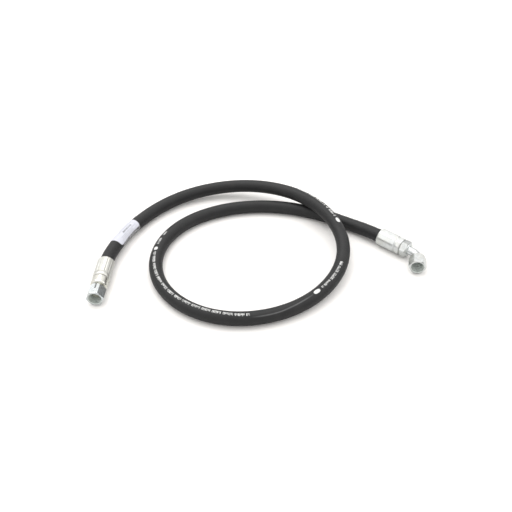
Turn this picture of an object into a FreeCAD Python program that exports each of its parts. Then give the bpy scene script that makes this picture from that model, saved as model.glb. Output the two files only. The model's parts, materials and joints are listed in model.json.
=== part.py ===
import FreeCAD, Part
import math
import os
import Sketcher
from FreeCAD import Placement, Rotation, Vector

# Half-inch textile-braid hydraulic hose assembly: a straight swivel end, a loop of hose that
# crosses over itself, and a swivel elbow. The lay of the hose starts at the straight (left) end
# and finishes at the elbow (right) end. +Z is up, and z = 0 is the floor the hose rests on.
# Each turned part is drawn along its own Z, in stations from a reference face, then placed.

doc = FreeCAD.newDocument("hose_assembly")
sheet = doc.addObject("Spreadsheet::Sheet", "Dimensions")

# ---------------------------------------------------------------- driving dimensions
# alias, number (mm unless the meaning says otherwise), meaning
TABLE = [
    # hose build-up, diameters
    ("hose_bore_dia", 12.7, "inner tube bore, size 08"),
    ("tube_outer_dia", 15.7, "inner tube outside"),
    ("braid_outer_dia", 17.3, "textile braid outside"),
    ("hose_outer_dia", 19.8, "cover outside"),
    # lay of the hose on the floor
    ("lay_start_x", -222.904, "x where the hose leaves the straight ferrule"),
    ("lay_start_y", -36.658, "y where the hose leaves the straight ferrule"),
    ("lay_heading", 86.808, "degrees from +X, direction of the hose at its start"),
    ("rest_height", 9.9, "centre height of hose lying on the floor"),
    ("fitting_height", 13.3, "centre height of both end fittings"),
    ("left_lift_run", 150.0, "length over which the hose rises to the straight end"),
    ("right_lift_run", 70.0, "length over which the hose rises to the elbow end"),
    ("crossing_station", 420.7, "station of the upper strand over the lower"),
    ("crossing_rise", 20.2, "extra height of the upper strand there"),
    ("crossing_run", 150.0, "how far the rise spreads along the hose"),
    ("crossing_fade_run", 140.0, "length from the start over which the rise is faded in"),
    # flex joints of the free ends
    ("flex_left_station", 209.0, "centre of the left flex joint"),
    ("flex_right_station", 1313.0, "centre of the right flex joint"),
    ("flex_ball_radius", 12.0, "ball half of a flex joint"),
    ("flex_gap", 0.08, "clearance between ball and socket"),
    # identification sleeve label
    ("label_from", 39.0, "station where the label starts"),
    ("label_to", 96.0, "station where the label ends"),
    ("label_gap", 0.07, "adhesive under each film"),
    ("label_skin", 0.14, "thickness of the printed film"),
    ("clear_skin", 0.07, "thickness of the clear film"),
    ("clear_from", 47.0, "station where the clear film starts"),
    ("clear_to", 94.5, "station where the clear film ends"),
    # swivel nut, 3/4-16 UNF
    ("nut_flats", 22.2, "across flats"),
    ("nut_length", 21.0, "back face to mouth"),
    ("nut_bore_radius", 8.28, "rear bore that turns on the nose"),
    ("nut_land_radius", 8.84, "plain lands at both ends of the thread"),
    ("thread_minor_radius", 8.68, "thread crests"),
    ("thread_major_radius", 9.525, "thread roots"),
    ("thread_pitch", 1.5875, "16 threads to the inch"),
    ("nut_rim_radius", 10.55, "flat rim of the mouth"),
    ("wire_station", 4.0, "thrust wire from the nut's back face"),
    ("wire_radius", 0.85, "thrust wire section"),
    ("wire_ring_radius", 8.24, "thrust wire ring"),
    ("wire_groove_half", 0.95, "half width of the wire grooves"),
    ("nose_radius", 8.2, "nose that the nut turns on"),
    ("nose_neck_radius", 7.6, "neck between the collar and the nose"),
    ("nose_front", 9.0, "nose face from the nut's back face"),
    ("seat_outer_radius", 7.4, "37 degree seat, large end"),
    ("seat_depth", 3.45, "depth of the 37 degree seat"),
    ("flow_radius", 4.8, "flow passage"),
    # straight end, stations from the ferrule mouth
    ("straight_hose_insert", 31.0, "hose inside the ferrule"),
    ("straight_ferrule_length", 38.0, "mouth to locking end"),
    ("straight_ferrule_radius", 12.4, "outside"),
    ("straight_flute_run", 28.6, "length of the crimp flutes"),
    ("flute_radius", 1.75, "round section of a flute"),
    ("flute_depth", 0.5, "how deep a flute sinks into the ferrule"),
    ("straight_nut_station", 56.3, "nut's back face"),
    ("collar_start", 38.6, "stem collar, hose end"),
    ("collar_end", 53.7, "stem collar, nut end"),
    ("collar_radius", 11.9, "stem collar"),
    ("straight_nut_turn", -23.0, "degrees, hex corner from the top"),
    # elbow end, stations from the ferrule mouth
    ("elbow_hose_insert", 28.0, "hose inside the ferrule"),
    ("elbow_ferrule_length", 38.8, "mouth to locking end"),
    ("elbow_ferrule_radius", 13.3, "barrel outside"),
    ("elbow_ferrule_flats", 25.6, "across the eight crimp flats"),
    ("elbow_collar_radius", 12.9, "ferrule's locking collar"),
    ("elbow_collar_flats", 24.8, "across the eight collar flats"),
    ("hex_start", 39.6, "hold hex, ferrule end"),
    ("hex_end", 49.4, "hold hex, tube end"),
    ("hex_flats", 22.2, "hold hex across flats"),
    ("elbow_corner", 65.5, "where the two elbow axes meet"),
    ("elbow_angle", 59.0, "degrees"),
    ("elbow_bend_radius", 18.0, "tube centreline bend"),
    ("elbow_tube_radius", 6.35, "tube outside radius"),
    ("elbow_tube_bore", 4.75, "tube bore radius"),
    ("braze_gap", 0.04, "tube to socket"),
    ("elbow_nut_station", 8.5, "nut's back face from the elbow corner"),
    ("elbow_nut_turn", 30.0, "degrees, hex corner from the top"),
    # shared ferrule and barb forms
    ("grip_bore_radius", 9.9, "ferrule bore between the teeth"),
    ("grip_tooth_radius", 9.35, "ferrule tooth tips, pressed into the cover"),
    ("barb_root_radius", 6.1, "stem between the barbs"),
    ("barb_tip_radius", 6.62, "barb tips"),
    ("lock_radius", 6.5, "groove in the stem that the ferrule lip closes on"),
    ("lock_gap", 0.03, "clearance of the lip in that groove"),
    ("lock_ring_radius", 7.8, "stem ring on the hose side of the lip"),
]
# the lay seen from above: station along the hose, curvature per metre (negative is clockwise)
LAY = [
    (0, -9.7), (14, -7.36), (30, -4.12), (52, -2.97), (80, -3.94), (135, -4.92), (215, -6.71),
    (295, -6.6), (376, -4.91), (456, -6.24), (536, -8.53), (617, -6.53), (697, -6.31),
    (778, -7.81), (858, -8.32), (938, -8.37), (1019, -8.05), (1089, -6.34), (1159, -5.21),
    (1220, -4.79), (1280, -3.45), (1320, -2.69), (1355, -2.13), (1374, -1.64),
]
for number, (station, bend) in enumerate(LAY):
    TABLE.append(("lay_station_%02d" % number, float(station), "station along the hose"))
    TABLE.append(("lay_bend_%02d" % number, bend, "curvature there, per metre"))

for column, heading in (("A1", "name"), ("B1", "number"), ("C1", "meaning")):
    sheet.set(column, heading)
for row, (alias, number, meaning) in enumerate(TABLE, start=2):
    sheet.set("A%d" % row, alias)
    sheet.set("B%d" % row, str(number))
    sheet.setAlias("B%d" % row, alias)
    sheet.set("C%d" % row, meaning)
doc.recompute()
VALUE = {alias: float(sheet.get(alias)) for alias, _, _ in TABLE}


class Dim:
    """A length worked out from the sheet: its number, and the expression that binds it."""

    def __init__(self, number, text):
        self.number = float(number)
        self.text = text

    def __add__(self, other):
        other = dim(other)
        return Dim(self.number + other.number, "(%s + %s)" % (self.text, other.text))

    def __sub__(self, other):
        other = dim(other)
        return Dim(self.number - other.number, "(%s - %s)" % (self.text, other.text))

    def __mul__(self, other):
        other = dim(other)
        return Dim(self.number * other.number, "(%s * %s)" % (self.text, other.text))

    def __neg__(self):
        return Dim(-self.number, "(0 - %s)" % self.text)


def dim(value):
    """A Dim from an alias, a plain number, or a Dim."""
    if isinstance(value, Dim):
        return value
    if isinstance(value, str):
        return Dim(VALUE[value], "Dimensions." + value)
    return Dim(value, "%.6f" % value)


def bind(item, prop, value):
    """Set a property of a document object and bind it to the sheet."""
    value = dim(value)
    setattr(item, prop, value.number)
    item.setExpression(prop, value.text)


# ---------------------------------------------------------------- sketch helpers
def new_sketch(body, name, role="XZ_Plane", lift=None):
    """A sketch on one of the body's origin planes, or lifted off it."""
    sketch = body.newObject("Sketcher::SketchObject", name)
    plane = next(item for item in body.Origin.OriginFeatures if item.Role == role)
    sketch.AttachmentSupport = [(plane, "")]
    sketch.MapMode = "FlatFace"
    if lift is not None:
        lift = dim(lift)
        sketch.AttachmentOffset = Placement(Vector(0, 0, lift.number), Rotation())
        sketch.setExpression("AttachmentOffset.Base.z", lift.text)
    return sketch


def measure(sketch, constraint, value):
    """Add a dimensional constraint bound to the sheet."""
    index = sketch.addConstraint(constraint)
    sketch.setExpression("Constraints[%d]" % index, value.text)


def pin(sketch, geo, pos, x, y):
    """Hold one point of the sketch at x, y from its origin."""
    for kind, axis, value in (("DistanceX", -2, dim(x)), ("DistanceY", -1, dim(y))):
        if abs(value.number) < 1e-9:
            sketch.addConstraint(Sketcher.Constraint("PointOnObject", geo, pos, axis))
        elif value.number > 0:
            measure(sketch, Sketcher.Constraint(kind, -1, 1, geo, pos, value.number), value)
        else:
            measure(sketch, Sketcher.Constraint(kind, geo, pos, -1, 1, -value.number), -value)


def outline(sketch, corners):
    """A closed outline of straight lines through corners."""
    corners = [(dim(x), dim(y)) for x, y in corners]
    points = [Vector(x.number, y.number, 0) for x, y in corners]
    first = sketch.GeometryCount
    count = len(corners)
    sketch.addGeometry(
        [Part.LineSegment(points[i], points[(i + 1) % count]) for i in range(count)], False)
    sketch.addConstraint([
        Sketcher.Constraint("Coincident", first + i, 2, first + (i + 1) % count, 1)
        for i in range(count)])
    for i, (x, y) in enumerate(corners):
        pin(sketch, first + i, 1, x, y)


def ring(sketch, radius, x=0.0, y=0.0):
    """A circle held by its centre and radius."""
    radius = dim(radius)
    centre = Vector(dim(x).number, dim(y).number, 0)
    geo = sketch.addGeometry(Part.Circle(centre, Vector(0, 0, 1), radius.number), False)
    pin(sketch, geo, 3, x, y)
    measure(sketch, Sketcher.Constraint("Radius", geo, radius.number), radius)


def polygon(sketch, across, sides, first_corner):
    """A regular polygon by its across-flats size; first_corner in degrees from the sketch's X."""
    corner_radius = dim(across) * (0.5 / math.cos(math.pi / sides))
    angles = [math.radians(first_corner) + 2 * math.pi * i / sides for i in range(sides)]
    outline(sketch, [
        (corner_radius * math.cos(angle), corner_radius * math.sin(angle)) for angle in angles])


# ---------------------------------------------------------------- feature helpers
def new_body(name):
    body = doc.addObject("PartDesign::Body", name)
    body.Label = name
    return body


def check_cut(feature):
    """Recompute, and make sure that a cutting feature took material away."""
    doc.recompute()
    before = feature.BaseFeature.Shape.Volume
    after = feature.Shape.Volume
    if not after < before - 0.01:
        raise RuntimeError("%s cuts nothing: %.3f to %.3f" % (feature.Name, before, after))


def turn_profile(body, name, profile_name, kind, points):
    """Turn an outline of (radius, station) points about the body's Z."""
    sketch = new_sketch(body, profile_name)
    outline(sketch, points)
    feature = body.newObject("PartDesign::" + kind, name)
    feature.Profile = sketch
    feature.ReferenceAxis = (sketch, ["V_Axis"])
    feature.Angle = 360.0
    return feature


def revolve(body, suffix, points):
    turn_profile(body, body.Name + suffix, body.Name + "_profile", "Revolution", points)


def groove(body, name, points):
    check_cut(turn_profile(body, name, name + "_profile", "Groove", points))


def push(body, name, sketch, length, kind, reverse=False):
    feature = body.newObject("PartDesign::" + kind, name)
    feature.Profile = sketch
    bind(feature, "Length", length)
    feature.Reversed = reverse
    return feature


def pad(body, name, sketch, length):
    push(body, name, sketch, length, "Pad")


def pocket(body, name, sketch, length, reverse=True):
    """A pocket; reversed, it cuts along the sketch's own normal."""
    feature = push(body, name, sketch, length, "Pocket", reverse)
    check_cut(feature)
    return feature


def round_edge(body, name, edge_radius, station, fillet):
    """Fillet the circular edges of one radius that stand at one station."""
    doc.recompute()
    base = body.Tip
    edge_radius, station = dim(edge_radius).number, dim(station).number
    names = [
        "Edge%d" % index for index, edge in enumerate(base.Shape.Edges, start=1)
        if isinstance(edge.Curve, Part.Circle)
        and abs(edge.Curve.Radius - edge_radius) < 0.01
        and abs(edge.Curve.Center.z - station) < 0.01]
    feature = body.newObject("PartDesign::Fillet", name)
    feature.Base = (base, names)
    feature.Radius = fillet
    doc.recompute()


def set_along(item, point, direction, turn=0.0):
    """Place an object: its Z along direction, its X up, then turned about its own Z."""
    along = Vector(direction)
    along.normalize()
    up = Vector(0, 0, 1)
    frame = Placement(point, Rotation(up, along.cross(up), along, "ZXY"))
    item.Placement = frame.multiply(Placement(Vector(), Rotation(up, turn)))


def cut(name, base, tool):
    feature = doc.addObject("Part::Cut", name)
    feature.Base = base
    feature.Tool = tool
    feature.Label = name
    return feature


# ---------------------------------------------------------------- lay of the hose
STATIONS = [VALUE["lay_station_%02d" % i] for i in range(len(LAY))]
BENDS = [VALUE["lay_bend_%02d" % i] / 1000.0 for i in range(len(LAY))]
HOSE_LENGTH = STATIONS[-1]
LAY_STEP = 0.5           # grid of the centreline
TANGENT_REACH = 1.0      # half the chord that gives a tangent
SPINE_RUN = 90.0         # rough length of one spline of a spine
SPINE_STEPS = 6          # steps between the points of one spline


def smooth(fraction):
    fraction = min(max(fraction, 0.0), 1.0)
    return fraction * fraction * (3 - 2 * fraction)


def bend_slopes():
    """Slopes of the curvature at the stations, limited so that it never overshoots."""
    runs = [STATIONS[i + 1] - STATIONS[i] for i in range(len(STATIONS) - 1)]
    rises = [(BENDS[i + 1] - BENDS[i]) / runs[i] for i in range(len(runs))]
    slopes = [rises[0]]
    for i in range(1, len(rises)):
        if rises[i - 1] * rises[i] <= 0:
            slopes.append(0.0)
        else:
            before = 2 * runs[i] + runs[i - 1]
            after = runs[i] + 2 * runs[i - 1]
            slopes.append((before + after) / (before / rises[i - 1] + after / rises[i]))
    slopes.append(rises[-1])
    return slopes


SLOPES = bend_slopes()


def bend_at(station):
    """Curvature at a station, by cubic interpolation of the lay."""
    station = min(max(station, 0.0), HOSE_LENGTH)
    i = next(k for k in range(len(STATIONS) - 1) if station <= STATIONS[k + 1])
    run = STATIONS[i + 1] - STATIONS[i]
    part = (station - STATIONS[i]) / run
    return ((2 * part ** 3 - 3 * part ** 2 + 1) * BENDS[i]
            + (part ** 3 - 2 * part ** 2 + part) * run * SLOPES[i]
            + (3 * part ** 2 - 2 * part ** 3) * BENDS[i + 1]
            + (part ** 3 - part ** 2) * run * SLOPES[i + 1])


def height_at(station):
    rest = VALUE["rest_height"]
    offset = (station - VALUE["crossing_station"]) / VALUE["crossing_run"]
    bump = VALUE["crossing_rise"] * math.exp(-offset ** 2)
    # the crossing's rise is faded out towards the start, so that the hose is level there
    fade = 1 - smooth(1 - station / VALUE["crossing_fade_run"])
    ends = (smooth(1 - station / VALUE["left_lift_run"])
            + smooth(1 - (HOSE_LENGTH - station) / VALUE["right_lift_run"]))
    return rest + bump * fade + (VALUE["fitting_height"] - rest) * ends


def walk_lay(heading):
    """Points of the centreline, one every LAY_STEP, and the heading at its end."""
    x, y = VALUE["lay_start_x"], VALUE["lay_start_y"]
    points = [Vector(x, y, height_at(0.0))]
    for i in range(int(round(HOSE_LENGTH / LAY_STEP))):
        middle = heading + bend_at((i + 0.25) * LAY_STEP) * LAY_STEP / 2
        x += math.cos(middle) * LAY_STEP
        y += math.sin(middle) * LAY_STEP
        heading += bend_at((i + 0.5) * LAY_STEP) * LAY_STEP
        points.append(Vector(x, y, height_at((i + 1) * LAY_STEP)))
    return points, heading


START_HEADING = math.radians(VALUE["lay_heading"])
CENTRELINE, END_HEADING = walk_lay(START_HEADING)


def point_at(station):
    place = station / LAY_STEP
    i = min(max(int(place), 0), len(CENTRELINE) - 2)
    part = place - i
    return CENTRELINE[i] * (1 - part) + CENTRELINE[i + 1] * part


def tangent_at(station):
    before = max(station - TANGENT_REACH, 0.0)
    after = min(station + TANGENT_REACH, HOSE_LENGTH)
    tangent = point_at(after) - point_at(before)
    tangent.normalize()
    return tangent


def level(heading):
    return Vector(math.cos(heading), math.sin(heading), 0)


# "mouth" is where the hose enters a ferrule, "out" is the way a fitting points from the hose
LEFT_MOUTH, RIGHT_MOUTH = CENTRELINE[0], CENTRELINE[-1]
LEFT_OUT = level(START_HEADING) * -1.0
RIGHT_OUT = level(END_HEADING)
ELBOW_OUT = Rotation(Vector(0, 0, 1), -VALUE["elbow_angle"]).multVec(RIGHT_OUT)
ELBOW_CORNER = RIGHT_MOUTH + RIGHT_OUT * VALUE["elbow_corner"]
# centres of the nuts' back faces
STRAIGHT_NUT = LEFT_MOUTH + LEFT_OUT * VALUE["straight_nut_station"]
ELBOW_NUT = ELBOW_CORNER + ELBOW_OUT * VALUE["elbow_nut_station"]


def path_object(name, edges):
    path = doc.addObject("Part::Feature", name)
    path.Shape = Part.Wire(edges)
    return path


def spine(name, start, end):
    """Centreline between two stations, its first point and its first direction.

    Below station 0 and past the hose's end it runs straight inside a ferrule.
    """
    low, high = max(start, 0.0), min(end, HOSE_LENGTH)
    runs = max(int(round((high - low) / SPINE_RUN)), 1)
    edges = []
    begin, direction = point_at(low), tangent_at(low)
    if start < 0:
        begin, direction = LEFT_MOUTH + LEFT_OUT * -start, LEFT_OUT * -1.0
        edges.append(Part.makeLine(begin, point_at(0.0)))
    for run in range(runs):
        here = low + (high - low) * run / runs
        there = low + (high - low) * (run + 1) / runs
        points = [point_at(here + (there - here) * i / float(SPINE_STEPS))
                  for i in range(SPINE_STEPS + 1)]
        first = LEFT_OUT * -1.0 if here == 0.0 else tangent_at(here)
        last = RIGHT_OUT if there == HOSE_LENGTH else tangent_at(there)
        curve = Part.BSplineCurve()
        curve.interpolate(Points=points, InitialTangent=first, FinalTangent=last, Scale=True)
        edges.append(curve.toShape())
    if end > HOSE_LENGTH:
        mouth = point_at(HOSE_LENGTH)
        edges.append(Part.makeLine(mouth, mouth + RIGHT_OUT * (end - HOSE_LENGTH)))
    return path_object(name, edges), begin, direction


def pipe(name, path, inner, outer):
    """A round pipe along a path, given with its start and direction."""
    holder, begin, direction = path
    body = new_body(name)
    section = new_sketch(body, name + "_section", "XY_Plane")
    section.AttachmentOffset = Placement(begin, Rotation(Vector(0, 0, 1), direction))
    ring(section, inner)
    ring(section, outer)
    sweep = body.newObject("PartDesign::AdditivePipe", name + "_pipe")
    sweep.Profile = section
    sweep.Spine = (holder, ["Edge%d" % (i + 1) for i in range(len(holder.Shape.Edges))])
    return body


# ---------------------------------------------------------------- shared sizes of the fittings
HEX_CORNER = 0.5774      # corner radius of a hexagon over its across-flats size
TAN_30 = 0.57735
FLOW = dim("flow_radius")
BARB_ROOT = dim("barb_root_radius")
BARB_TIP = dim("barb_tip_radius")
GRIP_BORE = dim("grip_bore_radius")
GRIP_TOOTH = dim("grip_tooth_radius")
LOCK = dim("lock_radius")
LIP = LOCK + dim("lock_gap")
LOCK_RING = dim("lock_ring_radius")
RING_BORE = LOCK_RING + 0.1             # ferrule bore round the stem's lock ring
TUBE_SOCKET = dim("elbow_tube_radius") + dim("braze_gap")
WIRE_AT = dim("wire_station")
WIRE_HALF = dim("wire_groove_half")
WIRE_GROOVE_DEPTH = 0.9                 # in the nut and in the nose
NOSE_BACK = 0.5                         # how far the nose starts behind the nut's back face


# ---------------------------------------------------------------- swivel nut and thrust wire
CHAMFER_REACH = 4.0      # radial reach of the 30 degree mouth chamfer
THREAD_START = 11.15     # centre of the first thread groove
THREAD_RUN_OUT = 1.55    # plain length left between the thread and the mouth
FEED_RADIUS = 1.05       # hole that feeds the thrust wire in
FEED_DEPTH = 14.0        # from the axis outward, past the hex
# rounded shoulder: radius from the hex corner, station from the back face
SHOULDER = [(0.05, 4.0), (-0.12, 3.0), (-0.5, 2.1), (-1.1, 1.3), (-1.9, 0.65), (-2.6, 0.25)]
WIRE_SWEEP = 338.0       # degrees of ring that the wire fills
WIRE_TURN = 200.0        # degrees from the top to the wire's first end


def nut_bore_points():
    """From the back: rear bore, wire groove, land, thread relief, thread bore, land, mouth."""
    rear, land = dim("nut_bore_radius"), dim("nut_land_radius")
    minor, top = dim("thread_minor_radius"), dim("nut_length")
    relief = dim("thread_major_radius") + 0.12
    groove_floor = rear + WIRE_GROOVE_DEPTH
    return [
        (0.0, 0.0), (rear + 0.6, 0.0), (rear, 0.6), (rear, WIRE_AT - WIRE_HALF),
        (groove_floor, WIRE_AT - WIRE_HALF), (groove_floor, WIRE_AT + WIRE_HALF),
        (rear, WIRE_AT + WIRE_HALF), (rear, 9.4), (land, 9.4), (land, 9.95),
        (relief, 10.35), (relief, 11.35), (minor, 11.9), (minor, top - 1.45),
        (land, top - 1.45), (land, top - 0.9), (land + 0.9, top), (0.0, top)]


def cut_thread(body, name):
    """Right-hand internal thread, from the relief up to the front land."""
    pitch, major = dim("thread_pitch"), dim("thread_major_radius")
    start = dim(THREAD_START)
    inner = dim("thread_minor_radius") - 0.25
    half_root = pitch * 0.0625
    half_mouth = (major - inner) * TAN_30 + half_root
    tooth = new_sketch(body, name + "_profile")
    outline(tooth, [
        (inner, start - half_mouth), (major, start - half_root),
        (major, start + half_root), (inner, start + half_mouth)])
    helix = body.newObject("PartDesign::SubtractiveHelix", name)
    helix.Profile = tooth
    helix.ReferenceAxis = (tooth, ["V_Axis"])
    helix.Mode = 0       # by pitch and height
    bind(helix, "Pitch", pitch)
    bind(helix, "Height", dim("nut_length") - THREAD_RUN_OUT - half_mouth - start)
    helix.Angle = 0
    helix.Reversed = False
    helix.LeftHanded = False
    check_cut(helix)


def make_nut(name):
    body = new_body(name)
    blank = new_sketch(body, name + "_hex", "XY_Plane")
    polygon(blank, "nut_flats", 6, 0.0)
    pad(body, name + "_blank", blank, "nut_length")
    corner = dim("nut_flats") * HEX_CORNER
    groove(body, name + "_shoulder", [
        (dim("nut_bore_radius") + 1.25, 0.0), (corner + 2.0, 0.0), (corner + 2.0, 4.0)]
        + [(corner + offset, station) for offset, station in SHOULDER])
    rim, top = dim("nut_rim_radius"), dim("nut_length")
    groove(body, name + "_mouth", [
        (rim, top), (rim + CHAMFER_REACH, top),
        (rim + CHAMFER_REACH, top - CHAMFER_REACH * 0.5774)])
    groove(body, name + "_bore", nut_bore_points())
    cut_thread(body, name + "_thread")
    feed = new_sketch(body, name + "_feed_hole", "YZ_Plane")
    ring(feed, FEED_RADIUS, 0.0, WIRE_AT)
    pocket(body, name + "_feed", feed, FEED_DEPTH, reverse=False)
    return body


def make_wire(name):
    wire = doc.addObject("Part::Torus", name)
    bind(wire, "Radius1", "wire_ring_radius")
    bind(wire, "Radius2", "wire_radius")
    wire.Angle3 = WIRE_SWEEP
    wire.Label = name
    return wire


def make_swivel(side, back_face, out):
    """A swivel nut and the thrust wire that holds it on its nose."""
    nut = make_nut(side + "_swivel_nut")
    set_along(nut, back_face, out, VALUE[side + "_nut_turn"])
    wire = make_wire(side + "_thrust_wire")
    set_along(wire, back_face + out * VALUE["wire_station"], out, WIRE_TURN)
    return [nut, wire]


# ---------------------------------------------------------------- shared profiles
def nose_points(base):
    """Nose from its back to the seat's bottom; base is the station of the nut's back face."""
    nose = dim("nose_radius")
    groove_floor = nose - WIRE_GROOVE_DEPTH
    low, high = base + WIRE_AT - WIRE_HALF, base + WIRE_AT + WIRE_HALF
    front = base + dim("nose_front")
    return [
        (nose, base - NOSE_BACK), (nose, low), (groove_floor, low), (groove_floor, high),
        (nose, high), (nose, front - 0.5), (nose - 0.4, front),
        (dim("seat_outer_radius"), front), (FLOW, front - dim("seat_depth"))]


def barb_points(first, count, pitch):
    """Stem's hose end, then saw-tooth barbs that rise gently and drop sharply."""
    points = [(FLOW, 2.0), (BARB_ROOT - 0.5, 2.0), (BARB_ROOT, 3.6)]
    for i in range(count):
        start = dim(first + i * pitch)
        points += [(BARB_ROOT, start), (BARB_TIP, start + 2.6),
                   (BARB_TIP, start + 3.2), (BARB_ROOT, start + 3.45)]
    return points


def tooth_points(first, count, pitch):
    """Inner teeth of a ferrule, from the deepest one back to the mouth."""
    points = []
    for i in reversed(range(count)):
        start = dim(first + i * pitch)
        points += [(GRIP_BORE, start + 2.6), (GRIP_TOOTH, start + 2.0),
                   (GRIP_TOOTH, start + 0.6), (GRIP_BORE, start)]
    return points + [(GRIP_BORE + 0.05, 1.6)]


# ---------------------------------------------------------------- straight end
FLUTE_START = 1.0        # station where the crimp flutes start
FLUTE_COUNT = 14
COLLAR_BACK_FILLET = 1.2
COLLAR_FRONT_FILLET = 3.2


def make_straight_ferrule():
    body = new_body("straight_ferrule")
    outer, length = dim("straight_ferrule_radius"), dim("straight_ferrule_length")
    revolve(body, "_shell", [
        # mouth, barrel, a shallow waist and the rounded locking end
        (10.25, 0.0), (outer - 0.9, 0.0), (outer - 0.45, 0.35), (outer, 1.6),
        (outer, length - 8.2), (outer - 0.25, length - 7.8), (outer - 0.85, length - 7.3),
        (outer - 0.85, length - 6.7), (outer - 0.35, length - 6.2), (outer, length - 5.4),
        (outer + 0.05, length - 3.4), (outer - 0.2, length - 1.5), (outer - 0.75, length - 0.5),
        (outer - 1.5, length),
        # back down the inside: lip, room for the lock ring, grip bore
        (LIP + 0.6, length), (LIP, length - 0.6), (LIP, length - 4.0),
        (RING_BORE, length - 4.0), (RING_BORE, length - 5.7), (GRIP_BORE, length - 5.7)]
        + tooth_points(first=3.5, count=5, pitch=5.2))
    sketch = new_sketch(body, "straight_flute_profile", "XY_Plane", FLUTE_START)
    ring(sketch, "flute_radius", outer + dim("flute_radius") - dim("flute_depth"), 0.0)
    flute = pocket(body, "straight_flute", sketch, "straight_flute_run")
    flutes = body.newObject("PartDesign::PolarPattern", "straight_flutes")
    flutes.Originals = [flute]
    flutes.Axis = (sketch, ["N_Axis"])
    flutes.Angle = 360.0
    flutes.Occurrences = FLUTE_COUNT
    # a new pattern has no originals yet, so the body does not take it as its tip by itself
    body.Tip = flutes
    set_along(body, LEFT_MOUTH, LEFT_OUT)
    return body


def make_straight_stem():
    body = new_body("straight_stem")
    length, nut_at = dim("straight_ferrule_length"), dim("straight_nut_station")
    collar, neck = dim("collar_radius"), dim("nose_neck_radius")
    start, end = dim("collar_start"), dim("collar_end")
    revolve(body, "_turned", barb_points(first=4.6, count=5, pitch=5.0) + [
        (BARB_ROOT, length - 5.8), (LOCK_RING, length - 5.6), (LOCK_RING, length - 4.1),
        (LOCK, length - 4.1), (LOCK, start), (collar, start), (collar, end), (neck, end),
        (neck, nut_at - NOSE_BACK)] + nose_points(nut_at))
    round_edge(body, "straight_collar_back", collar, start, COLLAR_BACK_FILLET)
    round_edge(body, "straight_collar_front", collar, end, COLLAR_FRONT_FILLET)
    set_along(body, LEFT_MOUTH, LEFT_OUT)
    return body


# ---------------------------------------------------------------- elbow end
CRIMP_BLANK_RADIUS = 20.0    # ring round the crimp flats, outside the ferrule
HEX_TURN = 15.0              # degrees, hold hex corner from the top
HEX_HOLE_RADIUS = 8.5        # hole in the hex pad, inside the turned stem
BEVEL_RADIUS = 10.9          # flat face left on each end of the hold hex
SOCKET_FLOOR = 2.4           # floor of the stem's tube socket, from the hex start
NOSE_SOCKET = 5.6            # depth of the nose's tube socket, from the nose's back
TUBE_END_GAP = 0.1           # tube end to socket floor, at both ends


def make_elbow_ferrule():
    body = new_body("elbow_ferrule")
    outer, collar = dim("elbow_ferrule_radius"), dim("elbow_collar_radius")
    length, hose_end = dim("elbow_ferrule_length"), dim("elbow_hose_insert") + 0.3
    revolve(body, "_shell", [
        # mouth, barrel, step down and the locking collar
        (10.25, 0.0), (outer - 1.1, 0.0), (outer - 0.5, 0.4), (outer, 1.5),
        (outer, length - 10.4), (outer - 0.5, length - 9.3), (outer - 1.2, length - 8.8),
        (outer - 1.2, length - 7.4), (collar - 0.4, length - 7.0), (collar, length - 6.4),
        (collar, length - 0.9), (collar - 0.9, length),
        # back down the inside: lip, room for the lock ring, grip bore
        (LIP + 0.6, length), (LIP, length - 0.6), (LIP, length - 6.3),
        (RING_BORE, length - 6.3), (RING_BORE, hose_end), (GRIP_BORE, hose_end)]
        + tooth_points(first=3.2, count=4, pitch=6.0))
    # eight crimp flats on the barrel and on the locking collar
    for name, sketch_name, flats, start, run in (
            ("elbow_barrel_crimp", "elbow_barrel_flats", "elbow_ferrule_flats",
             1.3, length - 10.9),
            ("elbow_collar_crimp", "elbow_collar_flat_profile", "elbow_collar_flats",
             length - 6.8, 5.6)):
        sketch = new_sketch(body, sketch_name, "XY_Plane", start)
        ring(sketch, CRIMP_BLANK_RADIUS)
        polygon(sketch, flats, 8, 22.5)
        pocket(body, name, sketch, run)
    set_along(body, RIGHT_MOUTH, RIGHT_OUT)
    return body


def make_elbow_stem():
    body = new_body("elbow_stem")
    length, insert = dim("elbow_ferrule_length"), dim("elbow_hose_insert")
    low, high = dim("hex_start"), dim("hex_end")
    revolve(body, "_turned", barb_points(first=4.2, count=4, pitch=5.6) + [
        (BARB_ROOT, insert + 0.2), (LOCK_RING, insert + 0.4), (LOCK_RING, length - 6.4),
        (LOCK, length - 6.4), (LOCK, low - 0.5), (10.6, low - 0.5), (10.6, high + 0.4),
        (10.2, high + 0.8), (TUBE_SOCKET + 0.5, high + 0.8), (TUBE_SOCKET, high + 0.3),
        (TUBE_SOCKET, low + SOCKET_FLOOR), (FLOW, low + SOCKET_FLOOR)])
    hexagon = new_sketch(body, "elbow_hold_hex_profile", "XY_Plane", "hex_start")
    polygon(hexagon, "hex_flats", 6, HEX_TURN)
    ring(hexagon, HEX_HOLE_RADIUS)
    pad(body, "elbow_hold_hex", hexagon, high - low)
    # bevelled corners on both faces; inward is the way from the face into the hex
    corner = dim("hex_flats") * HEX_CORNER
    for name, face, inward in (
            ("elbow_hex_bevel", low, 1), ("elbow_hex_front_bevel", high, -1)):
        groove(body, name, [
            (BEVEL_RADIUS, face - 0.1 * inward), (corner + 1.5, face - 0.1 * inward),
            (corner + 1.5, face + 1.7 * inward), (corner + 0.02, face + 1.2 * inward),
            (BEVEL_RADIUS, face)])
    set_along(body, RIGHT_MOUTH, RIGHT_OUT)
    return body


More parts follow.
